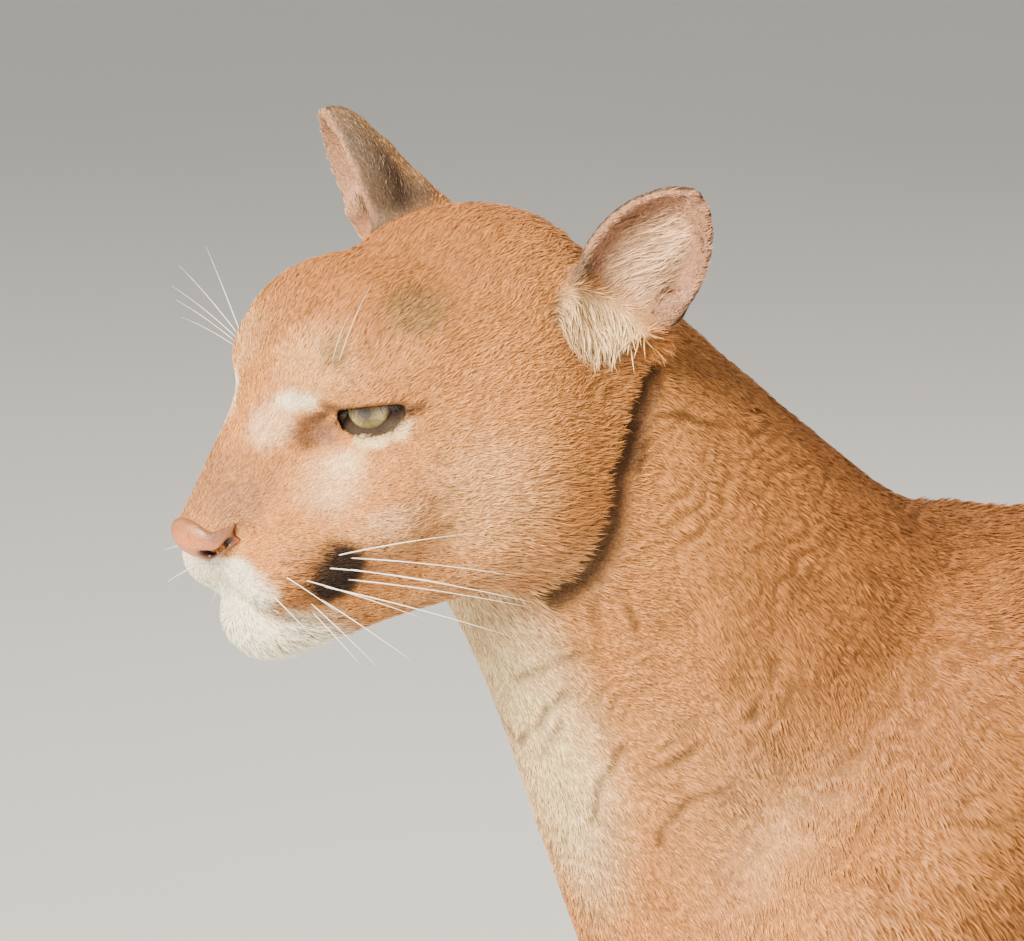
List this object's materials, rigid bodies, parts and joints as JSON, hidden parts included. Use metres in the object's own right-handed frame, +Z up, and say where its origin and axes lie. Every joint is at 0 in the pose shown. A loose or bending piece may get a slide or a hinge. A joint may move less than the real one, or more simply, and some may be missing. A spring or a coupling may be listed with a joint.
{
  "type": "cougar",
  "caption": "Life-size cougar standing still on four feet, head low and turned a little to its left, long tail hanging.",
  "frame": {"origin": "middle of the bounding box in x and y, on the floor under the feet", "axes": "+X to the animal's left, +Y from head to tail, +Z up"},
  "size_m": [0.3458, 1.7352, 0.8505],
  "materials": {
    "coat": "short tawny fur, matt",
    "nose_leather": "damp, satin",
    "iris": "wet, clear gloss over a grey-green iris"
  },
  "bodies": {
    "root": {"head": "coat", "nose": "nose_leather", "left_eye": "iris", "right_eye": "iris", "left_ear": "coat", "right_ear": "coat", "neck": "coat", "chest": "coat", "barrel": "coat", "rump": "coat", "left_shoulder": "coat", "left_forearm": "coat", "left_fore_paw": "coat", "right_shoulder": "coat", "right_forearm": "coat", "right_fore_paw": "coat", "left_thigh": "coat", "left_shin": "coat", "left_hind_foot": "coat", "left_hind_paw": "coat", "right_thigh": "coat", "right_shin": "coat", "right_hind_foot": "coat", "right_hind_paw": "coat", "tail_1": "coat", "tail_2": "coat", "tail_3": "coat"}
  },
  "joints": []
}
